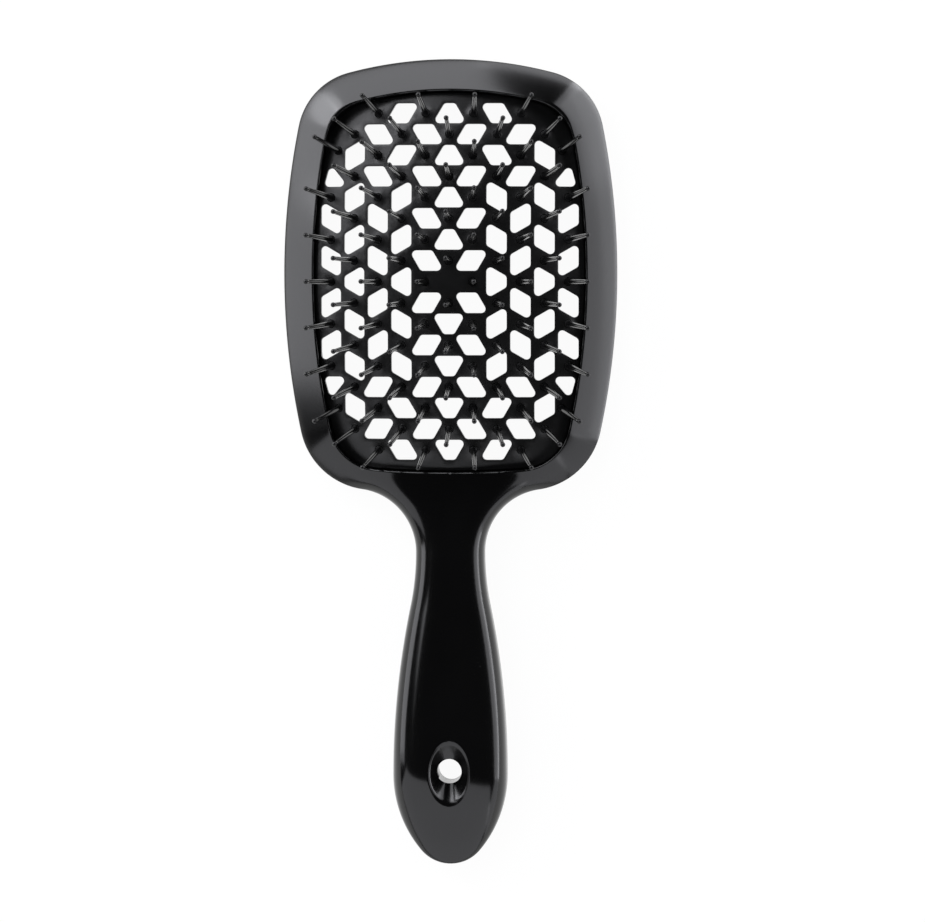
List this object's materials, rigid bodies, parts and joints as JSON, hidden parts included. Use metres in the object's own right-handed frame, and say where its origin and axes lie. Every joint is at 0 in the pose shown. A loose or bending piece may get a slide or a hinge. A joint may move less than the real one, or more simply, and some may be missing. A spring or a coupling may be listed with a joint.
{
  "type": "vented detangling hair brush",
  "caption": "Flat paddle hair brush with a glossy frame and handle, a hanging hole, and a domed vented pad of slim splayed pins that bend sideways and spring back.",
  "frame": {"origin": "under the middle of the plan outline, on the plane the back lies on", "axes": "+Y from the handle to the head, +Z from the back to the pin tips, +X to the right when looking at the pins with the head up"},
  "size_m": [0.085, 0.2056, 0.0325],
  "materials": {
    "shell": "polished black moulded plastic",
    "pad": "satin black nylon",
    "pins": "smooth black nylon"
  },
  "bodies": {
    "brush": {"front_shell": "shell", "back_shell": "shell", "vented_pad": "pad"},
    "pins_left_5_lower": {"pins_left_5_lower": "pins"},
    "pins_left_5_middle": {"pins_left_5_middle": "pins"},
    "pins_left_5_upper": {"pins_left_5_upper": "pins"},
    "pins_left_4_lower": {"pins_left_4_lower": "pins"},
    "pins_left_4_middle": {"pins_left_4_middle": "pins"},
    "pins_left_4_upper": {"pins_left_4_upper": "pins"},
    "pins_left_3_lower": {"pins_left_3_lower": "pins"},
    "pins_left_3_middle": {"pins_left_3_middle": "pins"},
    "pins_left_3_upper": {"pins_left_3_upper": "pins"},
    "pins_left_2_lower": {"pins_left_2_lower": "pins"},
    "pins_left_2_middle": {"pins_left_2_middle": "pins"},
    "pins_left_2_upper": {"pins_left_2_upper": "pins"},
    "pins_left_1_lower": {"pins_left_1_lower": "pins"},
    "pins_left_1_middle": {"pins_left_1_middle": "pins"},
    "pins_left_1_upper": {"pins_left_1_upper": "pins"},
    "pins_centre_lower": {"pins_centre_lower": "pins"},
    "pins_centre_middle": {"pins_centre_middle": "pins"},
    "pins_centre_upper": {"pins_centre_upper": "pins"},
    "pins_right_1_lower": {"pins_right_1_lower": "pins"},
    "pins_right_1_middle": {"pins_right_1_middle": "pins"},
    "pins_right_1_upper": {"pins_right_1_upper": "pins"},
    "pins_right_2_lower": {"pins_right_2_lower": "pins"},
    "pins_right_2_middle": {"pins_right_2_middle": "pins"},
    "pins_right_2_upper": {"pins_right_2_upper": "pins"},
    "pins_right_3_lower": {"pins_right_3_lower": "pins"},
    "pins_right_3_middle": {"pins_right_3_middle": "pins"},
    "pins_right_3_upper": {"pins_right_3_upper": "pins"},
    "pins_right_4_lower": {"pins_right_4_lower": "pins"},
    "pins_right_4_middle": {"pins_right_4_middle": "pins"},
    "pins_right_4_upper": {"pins_right_4_upper": "pins"},
    "pins_right_5_lower": {"pins_right_5_lower": "pins"},
    "pins_right_5_middle": {"pins_right_5_middle": "pins"},
    "pins_right_5_upper": {"pins_right_5_upper": "pins"}
  },
  "joints": [
    {"name": "bend_left_5_lower", "type": "hinge", "parent": "brush", "child": "pins_left_5_lower", "pos_m": [-0.02915, 0.01948, 0.00845], "axis": [-0.1583, 0.9823, 0.1], "range_deg": [-12, 18], "stiffness_Nm_per_rad": 0.1},
    {"name": "bend_left_5_middle", "type": "hinge", "parent": "brush", "child": "pins_left_5_middle", "pos_m": [-0.03002, 0.0462, 0.01015], "axis": [0, 1, 0], "range_deg": [-18, 18], "stiffness_Nm_per_rad": 0.15},
    {"name": "bend_left_5_upper", "type": "hinge", "parent": "brush", "child": "pins_left_5_upper", "pos_m": [-0.02915, 0.07347, 0.00835], "axis": [0.1439, 0.9837, -0.1081], "range_deg": [-14, 18], "stiffness_Nm_per_rad": 0.1},
    {"name": "bend_left_4_lower", "type": "hinge", "parent": "brush", "child": "pins_left_4_lower", "pos_m": [-0.02402, 0.01953, 0.00991], "axis": [0, 0.9885, 0.1512], "range_deg": [-18, 18], "stiffness_Nm_per_rad": 0.15},
    {"name": "bend_left_4_middle", "type": "hinge", "parent": "brush", "child": "pins_left_4_middle", "pos_m": [-0.02402, 0.0462, 0.01202], "axis": [0, 1, 0], "range_deg": [-18, 18], "stiffness_Nm_per_rad": 0.1},
    {"name": "bend_left_4_upper", "type": "hinge", "parent": "brush", "child": "pins_left_4_upper", "pos_m": [-0.02402, 0.07287, 0.00991], "axis": [0, 0.9885, -0.1512], "range_deg": [-18, 18], "stiffness_Nm_per_rad": 0.15},
    {"name": "bend_left_3_lower", "type": "hinge", "parent": "brush", "child": "pins_left_3_lower", "pos_m": [-0.01801, 0.0142, 0.0104], "axis": [0, 0.9837, 0.1801], "range_deg": [-18, 18], "stiffness_Nm_per_rad": 0.15},
    {"name": "bend_left_3_middle", "type": "hinge", "parent": "brush", "child": "pins_left_3_middle", "pos_m": [-0.01801, 0.0462, 0.01331], "axis": [0, 1, 0], "range_deg": [-18, 18], "stiffness_Nm_per_rad": 0.15},
    {"name": "bend_left_3_upper", "type": "hinge", "parent": "brush", "child": "pins_left_3_upper", "pos_m": [-0.01801, 0.0782, 0.0104], "axis": [0, 0.9837, -0.1801], "range_deg": [-18, 18], "stiffness_Nm_per_rad": 0.15},
    {"name": "bend_left_2_lower", "type": "hinge", "parent": "brush", "child": "pins_left_2_lower", "pos_m": [-0.01201, 0.01953, 0.01227], "axis": [0, 0.9888, 0.1492], "range_deg": [-18, 18], "stiffness_Nm_per_rad": 0.15},
    {"name": "bend_left_2_middle", "type": "hinge", "parent": "brush", "child": "pins_left_2_middle", "pos_m": [-0.01201, 0.0462, 0.01436], "axis": [0, 1, 0], "range_deg": [-18, 18], "stiffness_Nm_per_rad": 0.1},
    {"name": "bend_left_2_upper", "type": "hinge", "parent": "brush", "child": "pins_left_2_upper", "pos_m": [-0.01201, 0.07287, 0.01227], "axis": [0, 0.9888, -0.1492], "range_deg": [-18, 18], "stiffness_Nm_per_rad": 0.15},
    {"name": "bend_left_1_lower", "type": "hinge", "parent": "brush", "child": "pins_left_1_lower", "pos_m": [-0.006, 0.0142, 0.01197], "axis": [0, 0.9839, 0.1785], "range_deg": [-18, 18], "stiffness_Nm_per_rad": 0.15},
    {"name": "bend_left_1_middle", "type": "hinge", "parent": "brush", "child": "pins_left_1_middle", "pos_m": [-0.006, 0.0462, 0.01485], "axis": [0, 1, 0], "range_deg": [-18, 18], "stiffness_Nm_per_rad": 0.15},
    {"name": "bend_left_1_upper", "type": "hinge", "parent": "brush", "child": "pins_left_1_upper", "pos_m": [-0.006, 0.0782, 0.01197], "axis": [0, 0.9839, -0.1785], "range_deg": [-18, 18], "stiffness_Nm_per_rad": 0.15},
    {"name": "bend_centre_lower", "type": "hinge", "parent": "brush", "child": "pins_centre_lower", "pos_m": [0, 0.01954, 0.01305], "axis": [0, 0.9889, 0.1486], "range_deg": [-18, 18], "stiffness_Nm_per_rad": 0.15},
    {"name": "bend_centre_middle", "type": "hinge", "parent": "brush", "child": "pins_centre_middle", "pos_m": [0, 0.0462, 0.01512], "axis": [0, 1, 0], "range_deg": [-18, 18], "stiffness_Nm_per_rad": 0.1},
    {"name": "bend_centre_upper", "type": "hinge", "parent": "brush", "child": "pins_centre_upper", "pos_m": [0, 0.07286, 0.01305], "axis": [0, 0.9889, -0.1486], "range_deg": [-18, 18], "stiffness_Nm_per_rad": 0.15},
    {"name": "bend_right_1_lower", "type": "hinge", "parent": "brush", "child": "pins_right_1_lower", "pos_m": [0.006, 0.0142, 0.01197], "axis": [0, 0.9839, 0.1785], "range_deg": [-18, 18], "stiffness_Nm_per_rad": 0.15},
    {"name": "bend_right_1_middle", "type": "hinge", "parent": "brush", "child": "pins_right_1_middle", "pos_m": [0.006, 0.0462, 0.01485], "axis": [0, 1, 0], "range_deg": [-18, 18], "stiffness_Nm_per_rad": 0.15},
    {"name": "bend_right_1_upper", "type": "hinge", "parent": "brush", "child": "pins_right_1_upper", "pos_m": [0.006, 0.0782, 0.01197], "axis": [0, 0.9839, -0.1785], "range_deg": [-18, 18], "stiffness_Nm_per_rad": 0.15},
    {"name": "bend_right_2_lower", "type": "hinge", "parent": "brush", "child": "pins_right_2_lower", "pos_m": [0.01201, 0.01953, 0.01227], "axis": [0, 0.9888, 0.1492], "range_deg": [-18, 18], "stiffness_Nm_per_rad": 0.15},
    {"name": "bend_right_2_middle", "type": "hinge", "parent": "brush", "child": "pins_right_2_middle", "pos_m": [0.01201, 0.0462, 0.01436], "axis": [0, 1, 0], "range_deg": [-18, 18], "stiffness_Nm_per_rad": 0.1},
    {"name": "bend_right_2_upper", "type": "hinge", "parent": "brush", "child": "pins_right_2_upper", "pos_m": [0.01201, 0.07287, 0.01227], "axis": [0, 0.9888, -0.1492], "range_deg": [-18, 18], "stiffness_Nm_per_rad": 0.15},
    {"name": "bend_right_3_lower", "type": "hinge", "parent": "brush", "child": "pins_right_3_lower", "pos_m": [0.01801, 0.0142, 0.0104], "axis": [0, 0.9837, 0.1801], "range_deg": [-18, 18], "stiffness_Nm_per_rad": 0.15},
    {"name": "bend_right_3_middle", "type": "hinge", "parent": "brush", "child": "pins_right_3_middle", "pos_m": [0.01801, 0.0462, 0.01331], "axis": [0, 1, 0], "range_deg": [-18, 18], "stiffness_Nm_per_rad": 0.15},
    {"name": "bend_right_3_upper", "type": "hinge", "parent": "brush", "child": "pins_right_3_upper", "pos_m": [0.01801, 0.0782, 0.0104], "axis": [0, 0.9837, -0.1801], "range_deg": [-18, 18], "stiffness_Nm_per_rad": 0.15},
    {"name": "bend_right_4_lower", "type": "hinge", "parent": "brush", "child": "pins_right_4_lower", "pos_m": [0.02402, 0.01953, 0.00991], "axis": [0, 0.9885, 0.1512], "range_deg": [-18, 18], "stiffness_Nm_per_rad": 0.15},
    {"name": "bend_right_4_middle", "type": "hinge", "parent": "brush", "child": "pins_right_4_middle", "pos_m": [0.02402, 0.0462, 0.01202], "axis": [0, 1, 0], "range_deg": [-18, 18], "stiffness_Nm_per_rad": 0.1},
    {"name": "bend_right_4_upper", "type": "hinge", "parent": "brush", "child": "pins_right_4_upper", "pos_m": [0.02402, 0.07287, 0.00991], "axis": [0, 0.9885, -0.1512], "range_deg": [-18, 18], "stiffness_Nm_per_rad": 0.15},
    {"name": "bend_right_5_lower", "type": "hinge", "parent": "brush", "child": "pins_right_5_lower", "pos_m": [0.02915, 0.01948, 0.00845], "axis": [0.1583, 0.9823, 0.1], "range_deg": [-18, 12], "stiffness_Nm_per_rad": 0.1},
    {"name": "bend_right_5_middle", "type": "hinge", "parent": "brush", "child": "pins_right_5_middle", "pos_m": [0.03002, 0.0462, 0.01015], "axis": [0, 1, 0], "range_deg": [-18, 18], "stiffness_Nm_per_rad": 0.15},
    {"name": "bend_right_5_upper", "type": "hinge", "parent": "brush", "child": "pins_right_5_upper", "pos_m": [0.02915, 0.07347, 0.00835], "axis": [-0.1439, 0.9837, -0.1081], "range_deg": [-18, 14], "stiffness_Nm_per_rad": 0.1}
  ]
}
